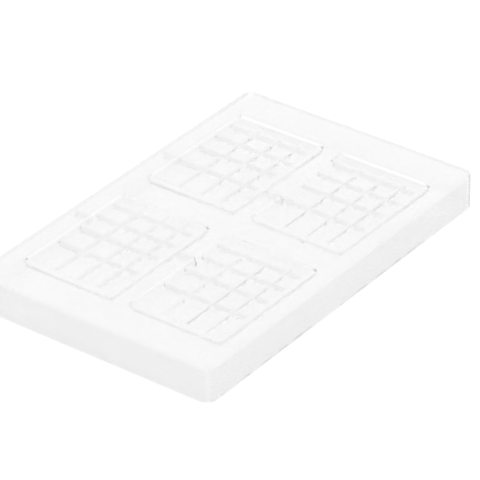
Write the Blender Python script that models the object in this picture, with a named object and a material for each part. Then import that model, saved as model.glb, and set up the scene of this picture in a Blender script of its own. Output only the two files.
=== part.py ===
"""Clear tray mould for four divided bars: a deck plate inside a skirt wall, four
cavity trays hung in the deck with a divider grid in each, and short webs below."""

import bpy
import bmesh
import math

# ---------------------------------------------------------------- dimensions
MM = 0.001

# Overall body, standing on the lower rim of the skirt.
LENGTH = 275.0
WIDTH = 175.0
HEIGHT = 24.0
CORNER_R = 7.0
SKIRT_DRAFT = 0.3
TOP_EDGE_R = 2.0
GAP = 0.3

# Skirt wall, and the deck that fills it at the top.
SKIRT_T = 3.1
SKIRT_INNER_R = 4.0
DECK_T = 3.0

# Layout of the four cavities.
TRAY_X = 60.0
TRAY_Y = 39.9
WINDOW_X = 102.8
WINDOW_Y = 71.0
WINDOW_R = 3.5

# One cavity: mouth, drafted walls and floor.
MOUTH_X = 93.0
MOUTH_Y = 64.0
MOUTH_R = 2.4
FLOOR_DEPTH = 6.1
WALL_SLOPE = 0.17
FLOOR_EDGE = 0.6
SHELL_T = 2.6
FLOOR_T = 2.6
FOOT_R = 3.0

# Divider bars standing on the floor.
CREST_DEPTH = 2.0
CREST_W = 0.5
BAR_FLANK = 0.6
BAR_CORNER_R = 1.1

# Divider lines measured from the middle of a cavity.
DIVIDERS_X = (-16.7, 3.4, 20.5, 36.3)
DIVIDERS_Y = (-18.7, -3.9, 13.1)

# Webs under the deck.
WEB_X = 44.0
WEB_T = 1.6
WEB_FOOT = 16.0

# Segments in a quarter circle.
ARC_BODY = 8
ARC_TRAY = 5
ARC_CELL = 3

CLEAR = (0.93, 0.945, 0.95, 1.0)
CLEAR_ROUGHNESS = 0.06

TOP = HEIGHT
UNDER = HEIGHT - DECK_T


# ------------------------------------------------------------------- helpers
def clear_scene():
    """Start from an empty scene."""
    for old in list(bpy.data.objects):
        bpy.data.objects.remove(old)


def outline(half_x, half_y, radius, arc):
    """Rounded rectangle about the origin, counter-clockwise, in millimetres."""
    points = []
    for sign_x, sign_y, start in ((1, 1, 0), (-1, 1, 90), (-1, -1, 180), (1, -1, 270)):
        for step in range(arc + 1):
            angle = math.radians(start + 90.0 * step / arc)
            x = sign_x * (half_x - radius) + radius * math.cos(angle)
            y = sign_y * (half_y - radius) + radius * math.sin(angle)
            points.append((x, y))
    return points


def add_loft(bm, rings, centre=(0.0, 0.0)):
    """Closed body through a stack of equal-count rings, given upwards."""
    layers = []
    for points, z in rings:
        layer = []
        for x, y in points:
            layer.append(bm.verts.new(((centre[0] + x) * MM, (centre[1] + y) * MM, z * MM)))
        layers.append(layer)
    count = len(layers[0])
    bm.faces.new(list(reversed(layers[0])))
    bm.faces.new(layers[-1])
    for lower, upper in zip(layers, layers[1:]):
        for i in range(count):
            j = (i + 1) % count
            bm.faces.new((lower[i], lower[j], upper[j], upper[i]))


def finish_mesh(bm, name):
    """Turn a bmesh into a linked object."""
    bmesh.ops.recalc_face_normals(bm, faces=bm.faces)
    mesh = bpy.data.meshes.new(name)
    bm.to_mesh(mesh)
    bm.free()
    item = bpy.data.objects.new(name, mesh)
    bpy.context.scene.collection.objects.link(item)
    return item


def loft(name, rings):
    """One lofted body as an object."""
    bm = bmesh.new()
    add_loft(bm, rings)
    return finish_mesh(bm, name)


def upright(name, profile, thickness):
    """Upright plate along Y: a (length, height) profile given a thickness."""
    bm = bmesh.new()
    sides = []
    for offset in (-thickness / 2.0, thickness / 2.0):
        sides.append([bm.verts.new((offset * MM, run * MM, z * MM)) for run, z in profile])
    count = len(profile)
    bm.faces.new(sides[0])
    bm.faces.new(list(reversed(sides[1])))
    for i in range(count):
        j = (i + 1) % count
        bm.faces.new((sides[0][i], sides[0][j], sides[1][j], sides[1][i]))
    return finish_mesh(bm, name)


def cut(body, cutter):
    """Subtract a cutter, kept as a hidden wire object."""
    cutter.hide_render = True
    cutter.display_type = 'WIRE'
    step = body.modifiers.new("cut_" + cutter.name, 'BOOLEAN')
    step.operation = 'DIFFERENCE'
    step.solver = 'EXACT'
    step.object = cutter


def paint(item, name):
    """Clear polycarbonate for one piece."""
    material = bpy.data.materials.new(name)
    material.use_nodes = True
    shader = material.node_tree.nodes["Principled BSDF"]
    shader.inputs["Base Color"].default_value = CLEAR
    shader.inputs["Roughness"].default_value = CLEAR_ROUGHNESS
    shader.inputs["Metallic"].default_value = 0.0
    item.data.materials.clear()
    item.data.materials.append(material)


# ----------------------------------------------------------------- sub-parts
def body_ring(inset, radius):
    """Outline of the body drawn in by an inset."""
    return outline(LENGTH / 2 - inset, WIDTH / 2 - inset, radius, ARC_BODY)


def make_skirt_wall():
    """Outer wall from the standing rim up to the rounded top edge."""
    rings = [(body_ring(0.0, CORNER_R), 0.0)]
    for step in range(4):
        angle = math.radians(30.0 * step)
        inset = SKIRT_DRAFT + TOP_EDGE_R * (1.0 - math.cos(angle))
        z = TOP - TOP_EDGE_R * (1.0 - math.sin(angle))
        rings.append((body_ring(inset, CORNER_R - inset), z))
    wall = loft("skirt_wall", rings)
    inner = [
        (body_ring(SKIRT_T, SKIRT_INNER_R), -1.0),
        (body_ring(SKIRT_T + SKIRT_DRAFT, SKIRT_INNER_R - SKIRT_DRAFT), TOP + 1.0),
    ]
    cut(wall, loft("skirt_hollow", inner))
    return wall


def tray_centres():
    """Place names and centres of the four cavities."""
    return (
        ("front_left", -TRAY_X, -TRAY_Y),
        ("front_right", TRAY_X, -TRAY_Y),
        ("back_left", -TRAY_X, TRAY_Y),
        ("back_right", TRAY_X, TRAY_Y),
    )


def make_deck_plate():
    """Flat face between the cavities, with a window for each tray."""
    edge = body_ring(SKIRT_T + SKIRT_DRAFT + GAP, SKIRT_INNER_R - SKIRT_DRAFT - GAP)
    deck = loft("deck_plate", [(edge, UNDER), (edge, TOP)])
    bm = bmesh.new()
    window = outline(WINDOW_X / 2, WINDOW_Y / 2, WINDOW_R, ARC_TRAY)
    for _, x, y in tray_centres():
        add_loft(bm, [(window, UNDER - 1.0), (window, TOP + 1.0)], (x, y))
    cut(deck, finish_mesh(bm, "deck_windows"))
    return deck


def wall_ring(depth, inset, radius):
    """Outline of the drafted cavity wall at a depth below the deck."""
    shrink = depth * WALL_SLOPE + inset
    return outline(MOUTH_X / 2 - shrink, MOUTH_Y / 2 - shrink, radius, ARC_TRAY)


def make_tray(name, x, y):
    """One cavity: rim flush with the deck, drafted walls and a flat floor."""
    rim = outline(WINDOW_X / 2 - GAP, WINDOW_Y / 2 - GAP, WINDOW_R - GAP, ARC_TRAY)
    foot = FLOOR_DEPTH + FLOOR_T
    rings = []
    for step in range(4):
        angle = math.radians(30.0 * step)
        inset = FOOT_R * (1.0 - math.sin(angle)) - SHELL_T
        depth = foot - FOOT_R * (1.0 - math.cos(angle))
        rings.append((wall_ring(depth, inset, 1.6 + 0.6 * step), TOP - depth))
    rings += [
        (wall_ring(DECK_T, -SHELL_T, 3.4), UNDER),
        (rim, UNDER),
        (rim, TOP),
    ]
    tray = loft("cavity_tray_" + name, rings)
    inner = [
        (wall_ring(FLOOR_DEPTH, FLOOR_EDGE, MOUTH_R - 1.2), TOP - FLOOR_DEPTH),
        (wall_ring(FLOOR_DEPTH - FLOOR_EDGE, 0.0, MOUTH_R - 0.8), TOP - FLOOR_DEPTH + FLOOR_EDGE),
        (wall_ring(-1.0, 0.0, MOUTH_R), TOP + 1.0),
    ]
    cavity = loft("cavity_" + name, inner)
    for item in (tray, cavity):
        item.location = (x * MM, y * MM, 0.0)
    cut(tray, cavity)
    return tray


def cell_spans(dividers, half):
    """Open spans between dividers; the outermost run on past the walls."""
    lines = (-half - 3.0,) + dividers + (half + 3.0,)
    spans = []
    for low, high in zip(lines, lines[1:]):
        spans.append((low + CREST_W / 2, high - CREST_W / 2))
    return spans


def make_grid(name, x, y):
    """Crossing divider bars, cut out of one block by the cells between them."""
    base = TOP - FLOOR_DEPTH + GAP
    crest = TOP - CREST_DEPTH
    knee = base + FLOOR_EDGE
    rings = [
        (wall_ring(TOP - base, FLOOR_EDGE + GAP, 1.0), base),
        (wall_ring(TOP - knee, GAP, 1.2), knee),
        (wall_ring(CREST_DEPTH, GAP, 1.4), crest),
    ]
    grid = loft("divider_grid_" + name, rings)
    bm = bmesh.new()
    for x0, x1 in cell_spans(DIVIDERS_X, MOUTH_X / 2):
        for y0, y1 in cell_spans(DIVIDERS_Y, MOUTH_Y / 2):
            half_x = (x1 - x0) / 2
            half_y = (y1 - y0) / 2
            low = outline(half_x - BAR_FLANK, half_y - BAR_FLANK, BAR_CORNER_R, ARC_CELL)
            high = outline(half_x, half_y, BAR_CORNER_R, ARC_CELL)
            add_loft(bm, [(low, base - 0.1), (high, crest + 0.1)], ((x0 + x1) / 2, (y0 + y1) / 2))
    cells = finish_mesh(bm, "cells_" + name)
    for item in (grid, cells):
        item.location = (x * MM, y * MM, 0.0)
    cut(grid, cells)
    return grid


def make_webs():
    """Short webs between the two rows of trays, and from the back row to the skirt."""
    shell_y = MOUTH_Y / 2 - DECK_T * WALL_SLOPE + SHELL_T
    wall_y = WIDTH / 2 - SKIRT_T - SKIRT_DRAFT - GAP
    head = UNDER - GAP
    spans = (
        ("middle", -(TRAY_Y - shell_y - GAP), TRAY_Y - shell_y - GAP),
        ("back", TRAY_Y + shell_y + GAP, wall_y),
    )
    webs = []
    for end, sign in (("left", -1), ("right", 1)):
        for place, start, stop in spans:
            shape = [(start, WEB_FOOT), (stop, WEB_FOOT), (stop, head), (start, head)]
            web = upright("web_%s_%s" % (place, end), shape, WEB_T)
            web.location = (sign * WEB_X * MM, 0.0, 0.0)
            webs.append(web)
    return webs


def main():
    clear_scene()
    pieces = [make_skirt_wall(), make_deck_plate()]
    for name, x, y in tray_centres():
        pieces.append(make_tray(name, x, y))
        pieces.append(make_grid(name, x, y))
    pieces += make_webs()
    for piece in pieces:
        paint(piece, "clear_" + piece.name)


main()
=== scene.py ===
"""Clear four-cavity bar mould on a white sweep, seen from above its near corner."""
import math
import bmesh
import bpy
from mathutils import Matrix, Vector


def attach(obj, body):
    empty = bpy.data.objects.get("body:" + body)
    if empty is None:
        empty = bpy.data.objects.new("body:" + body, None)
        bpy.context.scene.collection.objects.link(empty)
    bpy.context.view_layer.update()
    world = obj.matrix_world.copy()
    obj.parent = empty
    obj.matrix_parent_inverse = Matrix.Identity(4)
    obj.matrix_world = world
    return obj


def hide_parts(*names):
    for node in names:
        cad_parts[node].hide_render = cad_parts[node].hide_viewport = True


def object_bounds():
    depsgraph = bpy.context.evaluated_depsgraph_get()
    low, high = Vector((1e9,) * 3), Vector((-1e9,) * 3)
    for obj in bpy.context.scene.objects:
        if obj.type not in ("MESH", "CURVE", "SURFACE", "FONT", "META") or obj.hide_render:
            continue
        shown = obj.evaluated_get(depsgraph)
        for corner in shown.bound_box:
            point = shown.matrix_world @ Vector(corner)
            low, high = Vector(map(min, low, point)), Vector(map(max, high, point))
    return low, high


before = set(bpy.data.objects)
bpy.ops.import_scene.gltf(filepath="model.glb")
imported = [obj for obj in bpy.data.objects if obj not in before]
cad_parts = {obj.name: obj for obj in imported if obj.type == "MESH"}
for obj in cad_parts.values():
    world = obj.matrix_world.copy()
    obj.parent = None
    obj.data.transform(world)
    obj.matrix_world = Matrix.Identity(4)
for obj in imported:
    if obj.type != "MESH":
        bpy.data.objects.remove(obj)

CAD_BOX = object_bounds()
SCENE = bpy.context.scene
LOW, HIGH = CAD_BOX
MM = 0.001

# ----------------------------------------------- camera, metres unless marked
CAMERA_SPOT = Vector((-1.4283, -1.0634, 1.1168))
CAMERA_AIM = Vector((0.6829, 0.5049, -0.5280))
LENS_MM = 258.9
SENSOR_MM = 36.0
CLIP = (0.05, 50.0)

# ---------------------------------------------- shape of the clear moulding, mm
# Outside, from the frame's own box
TOP = HIGH.z / MM
HALF_X = HIGH.x / MM
HALF_Y = HIGH.y / MM
CORNER_R = 7.0
TOP_DRAFT = 0.3
EDGE_R = 2.0

# Skirt, and the hollow inside it
SKIRT_T = 3.1
SKIRT_CORNER_R = 4.0
DECK_T = 3.0
UNDER = TOP - DECK_T
UNDER_R = 1.0

# Cavities; all four are alike
TRAYS = ((-60.0, -39.9), (60.0, -39.9), (-60.0, 39.9), (60.0, 39.9))
MOUTH_X = 46.5
MOUTH_Y = 32.0
MOUTH_R = 2.4
MOUTH_EDGE = 0.3
MOUTH_CREST_R = 2.1
WALL_SLOPE = 0.17
FLOOR_DEPTH = 6.1

# Shell round each cavity, rounded at its foot and blended into the deck's underside
SHELL_T = 2.6
FLOOR_T = 2.6
FOOT_ROUND = 3.0
SHELL_FOOT_R = 1.6
SHELL_FOOT_R_STEP = 0.3
SHELL_BLEND = ((0.6, 0.0, 3.4), (0.18, 0.2, 3.5), (0.0, 0.6, 3.7))  # drop, reach, corner radius

# Dividers on each floor, measured from the cavity's centre
DIVIDERS_X = (-16.7, 3.4, 20.5, 36.3)
DIVIDERS_Y = (-18.7, -3.9, 13.1)
CREST_DEPTH = 2.0
CREST_R = 0.2
CREST_MIN = 0.05
CREST_FALLS = (0.2, 0.1, 0.03, 0.0)
FLANK = 0.6
FOOT_R = 0.1
FOOT_SQUASH = 0.6
CELL_FOOT_R = 0.8
CELL_CREST_R = 0.9

# V line round each cavity
RIM_X = 51.4
RIM_Y = 35.5
RIM_R = 3.5
GROOVE_DEPTH = 0.35
GROOVE_HALF_W = 0.6
GROOVE_LIFT = 0.02

# Webs under the deck
WEB_X = 44.0
WEB_T = 1.6
WEB_FOOT = 16.0
WEB_CORNER_R = 0.1

# How far cutters stand out of the body, and how far joined pieces run into each other
CUTTER_RISE = 1.0
CELL_RISE = 0.3
OVERLAP = 0.5
WELD = 0.002

# Segments in a quarter of each outline's corners, and in each rounding's profile
BODY_ARC = 10
WALL_ARC = 6
CELL_ARC = 4
WEB_ARC = 2
EDGE_STEPS = 6
UNDER_STEPS = 3
SHELL_STEPS = 6
MOUTH_STEPS = 4
CELL_STEPS = 3

# -------------------------------------------------------------------- looks
SMOOTH_UP_TO = math.radians(35.0)
REFRACTION = 1.3  # below polycarbonate's 1.585, which darkens and breaks up the thin dividers
FACE_GREY = 0.93
FACE_ROUGHNESS = 0.004
FACE_HAZE = 40.0
# Painted shade: the skirt's -x and -y walls alone get this greyer, hazier, slightly less clear
# plastic, standing in for their darker look under this lighting.
NEAR_WALL_SHADE_GREY = 0.87
SKIRT_ROUGHNESS = 0.06
SKIRT_HAZE = 60.0
NEAR_WALL_SHADE_CLEAR = 0.98
SKIRT_REACH = 0.6  # mm inside the skirt's thickness that still counts as its wall
HAZE_DARKER = 0.99
HAZE_DETAIL = 3.0
HAZE_RAMP = (0.3, 0.7)
ROUGHNESS_RANGE = (0.7, 1.3)

# Sweep, metres
FLOOR_HALF = 3.0
FLOOR_GAP = 0.0002
FLOOR_GREY = 0.3
FLOOR_GLOW = 0.82

# Surroundings: place along the tilted axis, and brightness there
SKY_STEPS = ((0.2, 0.15), (0.5, 0.4), (0.7, 0.9), (0.9, 1.0))
SKY_POWER = 1.1
SKY_TURN = (math.radians(30.0), math.radians(-35.0), 0.0)
CLEAR_BOUNCES = 64
DIFFUSE_BOUNCES = 8
TRANSPARENT_BOUNCES = 16


# -------------------------------------------------------------- mesh helpers
def outline(x0, x1, y0, y1, radius, arc):
    """Rounded rectangle between two corners, counter-clockwise."""
    points = []
    for cx, cy, start in ((x1, y1, 0), (x0, y1, 90), (x0, y0, 180), (x1, y0, 270)):
        mx = cx - radius if cx == x1 else cx + radius
        my = cy - radius if cy == y1 else cy + radius
        for step in range(arc + 1):
            turn = math.radians(start + 90.0 * step / arc)
            points.append((mx + radius * math.cos(turn), my + radius * math.sin(turn)))
    return points


def centred(half_x, half_y, radius, arc, at=(0.0, 0.0)):
    """Rounded rectangle about a centre."""
    return outline(at[0] - half_x, at[0] + half_x, at[1] - half_y, at[1] + half_y, radius, arc)


def quarter(steps):
    """Angles of a quarter turn, from 0 to 90 degrees."""
    return [math.radians(90.0 / steps * step) for step in range(steps + 1)]


def add_layer(bm, points, z):
    """One ring of vertices at a height, given in mm."""
    return [bm.verts.new((x * MM, y * MM, z * MM)) for x, y in points]


def join_layers(bm, lower, upper):
    """Band of faces between two rings of equal count."""
    count = len(lower)
    for i in range(count):
        j = (i + 1) % count
        bm.faces.new((lower[i], lower[j], upper[j], upper[i]))


def add_loft(bm, rings):
    """Closed body through a stack of equal-count rings, given upwards."""
    layers = [add_layer(bm, points, z) for points, z in rings]
    bm.faces.new(list(reversed(layers[0])))
    bm.faces.new(layers[-1])
    for lower, upper in zip(layers, layers[1:]):
        join_layers(bm, lower, upper)


def to_object(bm, name):
    """Turn a bmesh into a linked object."""
    bmesh.ops.recalc_face_normals(bm, faces=bm.faces)
    mesh = bpy.data.meshes.new(name)
    bm.to_mesh(mesh)
    bm.free()
    item = bpy.data.objects.new(name, mesh)
    SCENE.collection.objects.link(item)
    return item


def combine(body, other, operation):
    """Boolean one object into another and drop the second."""
    step = body.modifiers.new("step", "BOOLEAN")
    step.operation = operation
    step.solver = "EXACT"
    step.object = other
    graph = bpy.context.evaluated_depsgraph_get()
    solved = bpy.data.meshes.new_from_object(body.evaluated_get(graph))
    body.modifiers.remove(step)
    old = body.data
    body.data = solved
    bpy.data.meshes.remove(old)
    bpy.data.objects.remove(other)


def clean(body):
    """Weld the doubled points that the booleans leave."""
    bm = bmesh.new()
    bm.from_mesh(body.data)
    bmesh.ops.remove_doubles(bm, verts=bm.verts, dist=WELD * MM)
    bmesh.ops.dissolve_degenerate(bm, edges=bm.edges, dist=WELD * MM)
    bm.to_mesh(body.data)
    bm.free()


def shade(body):
    """Round edges shade smoothly while the flat faces beside them stay flat."""
    body.data.set_sharp_from_angle(angle=SMOOTH_UP_TO)
    step = body.modifiers.new("flat_faces", "WEIGHTED_NORMAL")
    step.keep_sharp = True
    step.weight = 100


# ----------------------------------------------------------- moulding pieces
def body_ring(inset, radius):
    """Outline of the whole mould, drawn in by an inset."""
    return centred(HALF_X - inset, HALF_Y - inset, radius, BODY_ARC)


def make_block():
    """Outside of the mould, with a rounded top edge."""
    rings = [(body_ring(0.0, CORNER_R), 0.0)]
    for turn in quarter(EDGE_STEPS):
        inset = TOP_DRAFT + EDGE_R * (1.0 - math.cos(turn))
        rings.append((body_ring(inset, CORNER_R - inset), TOP - EDGE_R * (1.0 - math.sin(turn))))
    bm = bmesh.new()
    add_loft(bm, rings)
    return to_object(bm, "mould_body")


def make_hollow():
    """Space under the deck, inside the skirt."""
    rings = [(body_ring(SKIRT_T, SKIRT_CORNER_R), -CUTTER_RISE)]
    for turn in quarter(UNDER_STEPS):
        inset = SKIRT_T + TOP_DRAFT + UNDER_R * (1.0 - math.cos(turn))
        z = UNDER - UNDER_R * (1.0 - math.sin(turn))
        rings.append((body_ring(inset, SKIRT_CORNER_R - inset + SKIRT_T), z))
    bm = bmesh.new()
    add_loft(bm, rings)
    return to_object(bm, "hollow")


def wall_ring(at, depth, inset, radius):
    """Drafted cavity wall at a depth below the deck."""
    shrink = depth * WALL_SLOPE + inset
    return centred(MOUTH_X - shrink, MOUTH_Y - shrink, radius, WALL_ARC, at)


def make_shells():
    """Outsides of the four cavities, hung from the deck."""
    bm = bmesh.new()
    foot = FLOOR_DEPTH + FLOOR_T
    for at in TRAYS:
        rings = []
        for step, turn in enumerate(quarter(SHELL_STEPS)):
            inset = FOOT_ROUND * (1.0 - math.sin(turn)) - SHELL_T
            depth = foot - FOOT_ROUND * (1.0 - math.cos(turn))
            radius = SHELL_FOOT_R + SHELL_FOOT_R_STEP * step
            rings.append((wall_ring(at, depth, inset, radius), TOP - depth))
        for drop, reach, radius in SHELL_BLEND:
            rings.append((wall_ring(at, DECK_T + drop, -SHELL_T - reach, radius), UNDER - drop))
        top_ring, _ = rings[-1]
        rings.append((top_ring, UNDER + OVERLAP))
        add_loft(bm, rings)
    return to_object(bm, "shells")


def make_mouths():
    """Upper part of each cavity, down to the crest of the dividers."""
    bm = bmesh.new()
    for at in TRAYS:
        rings = [(wall_ring(at, CREST_DEPTH, 0.0, MOUTH_CREST_R), TOP - CREST_DEPTH)]
        for turn in quarter(MOUTH_STEPS):
            flare = MOUTH_EDGE * (1.0 - math.cos(turn))
            depth = MOUTH_EDGE * (1.0 - math.sin(turn))
            rings.append((wall_ring(at, depth, -flare, MOUTH_R + flare), TOP - depth))
        top_ring, _ = rings[-1]
        rings.append((top_ring, TOP + CUTTER_RISE))
        add_loft(bm, rings)
    return to_object(bm, "mouths")


def spans(dividers, half):
    """Cells between dividers: low side, high side, and whether each is a wall."""
    lines = (-half,) + dividers + (half,)
    last = len(lines) - 2
    return [(lines[i], lines[i + 1], i == 0, i == last) for i in range(last + 1)]


def side(place, is_wall, sign, depth, foot):
    """Where one side of a cell stands at a depth, drawn in at its foot."""
    if is_wall:
        return place - sign * (depth * WALL_SLOPE + foot)
    fall = depth - CREST_DEPTH
    if fall < CREST_R:
        run = max(CREST_MIN, math.sqrt(CREST_R ** 2 - (CREST_R - fall) ** 2))
    else:
        run = CREST_R + FLANK * (fall - CREST_R) / (FLOOR_DEPTH - CREST_DEPTH - CREST_R)
    return place - sign * (run + foot)


def cell_ring(at, cell_x, cell_y, depth, foot, radius):
    """Outline of one bevelled cell at a depth."""
    x0 = side(cell_x[0], cell_x[2], -1, depth, foot)
    x1 = side(cell_x[1], cell_x[3], 1, depth, foot)
    y0 = side(cell_y[0], cell_y[2], -1, depth, foot)
    y1 = side(cell_y[1], cell_y[3], 1, depth, foot)
    return outline(at[0] + x0, at[0] + x1, at[1] + y0, at[1] + y1, radius, CELL_ARC)


def cell_rings(at, cell_x, cell_y):
    """One cell from its rounded foot up past the dividers' crests."""
    rings = []
    for turn in quarter(CELL_STEPS):
        foot = FOOT_R * (1.0 - math.sin(turn))
        depth = FLOOR_DEPTH - FOOT_R * (1.0 - math.cos(turn)) * FOOT_SQUASH
        rings.append((cell_ring(at, cell_x, cell_y, depth, foot, CELL_FOOT_R), TOP - depth))
    for fall in CREST_FALLS:
        depth = CREST_DEPTH + fall
        rings.append((cell_ring(at, cell_x, cell_y, depth, 0.0, CELL_CREST_R), TOP - depth))
    top_ring, z = rings[-1]
    rings.append((top_ring, z + CELL_RISE))
    return rings


def make_cells():
    """Bevelled cells sunk between the dividers."""
    bm = bmesh.new()
    for at in TRAYS:
        for cell_x in spans(DIVIDERS_X, MOUTH_X):
            for cell_y in spans(DIVIDERS_Y, MOUTH_Y):
                add_loft(bm, cell_rings(at, cell_x, cell_y))
    return to_object(bm, "cells")


def make_grooves():
    """Shallow V line around each cavity, where its frame meets the deck."""
    brim = TOP + GROOVE_LIFT
    profile = ((GROOVE_HALF_W, brim), (0.0, TOP - GROOVE_DEPTH), (-GROOVE_HALF_W, brim))
    bm = bmesh.new()
    for at in TRAYS:
        layers = []
        for spread, z in profile:
            ring = centred(RIM_X + spread, RIM_Y + spread, RIM_R + spread, WALL_ARC, at)
            layers.append(add_layer(bm, ring, z))
        for lower, upper in zip(layers, layers[1:] + layers[:1]):
            join_layers(bm, lower, upper)
    return to_object(bm, "grooves")


def make_webs():
    """Thin upright webs under the deck: between the rows, and out to the back skirt."""
    bm = bmesh.new()
    reach = MOUTH_Y - DECK_T * WALL_SLOPE + SHELL_T - OVERLAP
    near = TRAYS[2][1] - reach
    far = TRAYS[2][1] + reach
    skirt = HALF_Y - SKIRT_T + OVERLAP
    for x in (-WEB_X, WEB_X):
        for y0, y1 in ((-near, near), (far, skirt)):
            ring = outline(x - WEB_T / 2, x + WEB_T / 2, y0, y1, WEB_CORNER_R, WEB_ARC)
            add_loft(bm, [(ring, WEB_FOOT), (ring, UNDER + OVERLAP)])
    return to_object(bm, "webs")


def make_mould():
    """The whole clear moulding as one closed body."""
    body = make_block()
    combine(body, make_hollow(), "DIFFERENCE")
    combine(body, make_shells(), "UNION")
    combine(body, make_webs(), "UNION")
    combine(body, make_grooves(), "DIFFERENCE")
    combine(body, make_mouths(), "DIFFERENCE")
    combine(body, make_cells(), "DIFFERENCE")
    clean(body)
    shade(body)
    return body


# ---------------------------------------------------------------- materials
def clear_plastic(name, grey, roughness, haze_scale, clear=1.0):
    """Clear plastic that bends light, with a faint uneven haze."""
    material = bpy.data.materials.new(name)
    material.use_nodes = True
    nodes = material.node_tree.nodes
    links = material.node_tree.links
    shader = nodes["Principled BSDF"]
    shader.inputs["Transmission Weight"].default_value = clear
    shader.inputs["IOR"].default_value = REFRACTION
    place = nodes.new("ShaderNodeTexCoord")

    cloud = nodes.new("ShaderNodeTexNoise")
    cloud.inputs["Scale"].default_value = haze_scale
    cloud.inputs["Detail"].default_value = HAZE_DETAIL
    links.new(place.outputs["Object"], cloud.inputs["Vector"])

    colour = nodes.new("ShaderNodeValToRGB")
    darker, lighter = colour.color_ramp.elements
    darker.position, lighter.position = HAZE_RAMP
    darker.color = (grey * HAZE_DARKER, grey * HAZE_DARKER, grey * HAZE_DARKER, 1.0)
    lighter.color = (grey, grey, grey, 1.0)
    links.new(cloud.outputs["Fac"], colour.inputs["Fac"])
    links.new(colour.outputs["Color"], shader.inputs["Base Color"])

    blur = nodes.new("ShaderNodeMapRange")
    blur.inputs["To Min"].default_value = roughness * ROUGHNESS_RANGE[0]
    blur.inputs["To Max"].default_value = roughness * ROUGHNESS_RANGE[1]
    links.new(cloud.outputs["Fac"], blur.inputs["Value"])
    links.new(blur.outputs["Result"], shader.inputs["Roughness"])
    return material


def paint_mould(body):
    """Clear everywhere, with painted shade on the skirt's -x and -y walls: a greyer, hazier,
    slightly less clear plastic there.
    """
    face_look = clear_plastic("clear_face", FACE_GREY, FACE_ROUGHNESS, FACE_HAZE)
    near_wall_shade_look = clear_plastic("clear_skirt_painted_shade", NEAR_WALL_SHADE_GREY, SKIRT_ROUGHNESS, SKIRT_HAZE, NEAR_WALL_SHADE_CLEAR)
    body.data.materials.clear()
    body.data.materials.append(face_look)
    body.data.materials.append(near_wall_shade_look)
    wall = SKIRT_T + SKIRT_REACH
    for face in body.data.polygons:
        centre = face.center / MM
        low = centre.z < UNDER - UNDER_R
        # Painted shade: faces low on the skirt's -x and -y walls take the greyer material.
        in_painted_shade = centre.x < wall - HALF_X or centre.y < wall - HALF_Y
        face.material_index = 1 if low and in_painted_shade else 0


# -------------------------------------------------------------------- stage
def make_floor():
    """White matte sweep under the mould, glowing enough to stay plain white."""
    mesh = bpy.data.meshes.new("floor")
    half = FLOOR_HALF
    z = LOW.z - FLOOR_GAP
    corners = [(-half, -half, z), (half, -half, z), (half, half, z), (-half, half, z)]
    mesh.from_pydata(corners, [], [(0, 1, 2, 3)])
    floor = bpy.data.objects.new("floor", mesh)
    SCENE.collection.objects.link(floor)
    material = bpy.data.materials.new("white_sweep")
    material.use_nodes = True
    shader = material.node_tree.nodes["Principled BSDF"]
    shader.inputs["Base Color"].default_value = (FLOOR_GREY, FLOOR_GREY, FLOOR_GREY, 1.0)
    shader.inputs["Roughness"].default_value = 1.0
    shader.inputs["Emission Color"].default_value = (1.0, 1.0, 1.0, 1.0)
    shader.inputs["Emission Strength"].default_value = FLOOR_GLOW
    mesh.materials.append(material)


def make_light():
    """Surroundings that run from white down to dark grey along a tilted axis."""
    world = bpy.data.worlds.new("studio")
    SCENE.world = world
    world.use_nodes = True
    nodes = world.node_tree.nodes
    links = world.node_tree.links
    sky = nodes["Background"]
    place = nodes.new("ShaderNodeTexCoord")
    turn = nodes.new("ShaderNodeMapping")
    turn.inputs["Rotation"].default_value = SKY_TURN
    split = nodes.new("ShaderNodeSeparateXYZ")
    ramp = nodes.new("ShaderNodeValToRGB")
    spread = nodes.new("ShaderNodeMapRange")
    spread.inputs["From Min"].default_value = -1.0
    links.new(place.outputs["Generated"], turn.inputs["Vector"])
    links.new(turn.outputs["Vector"], split.inputs["Vector"])
    links.new(split.outputs["Z"], spread.inputs["Value"])
    links.new(spread.outputs["Result"], ramp.inputs["Fac"])
    links.new(ramp.outputs["Color"], sky.inputs["Color"])
    steps = ramp.color_ramp.elements
    steps[0].position = SKY_STEPS[0][0]
    steps[1].position = SKY_STEPS[-1][0]
    for at, _ in SKY_STEPS[1:-1]:
        steps.new(at)
    for step, (_, value) in zip(steps, SKY_STEPS):
        step.color = (value, value, value, 1.0)
    sky.inputs["Strength"].default_value = SKY_POWER


def make_camera():
    """Long lens looking down on the near corner."""
    data = bpy.data.cameras.new("camera")
    data.lens = LENS_MM
    data.sensor_width = SENSOR_MM
    data.clip_start, data.clip_end = CLIP
    camera = bpy.data.objects.new("camera", data)
    SCENE.collection.objects.link(camera)
    camera.location = CAMERA_SPOT
    camera.rotation_mode = "QUATERNION"
    camera.rotation_quaternion = CAMERA_AIM.to_track_quat("-Z", "Y")
    SCENE.camera = camera


def set_rendering():
    """Enough bounces for light that crosses many clear walls."""
    SCENE.view_settings.view_transform = "Standard"
    SCENE.cycles.max_bounces = CLEAR_BOUNCES
    SCENE.cycles.transmission_bounces = CLEAR_BOUNCES
    SCENE.cycles.glossy_bounces = CLEAR_BOUNCES
    SCENE.cycles.diffuse_bounces = DIFFUSE_BOUNCES
    SCENE.cycles.transparent_max_bounces = TRANSPARENT_BOUNCES
    SCENE.cycles.use_denoising = True
    SCENE.cycles.denoising_input_passes = "RGB"


make_camera()
mould = make_mould()
paint_mould(mould)
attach(mould, "root")
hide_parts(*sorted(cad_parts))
make_floor()
make_light()
set_rendering()
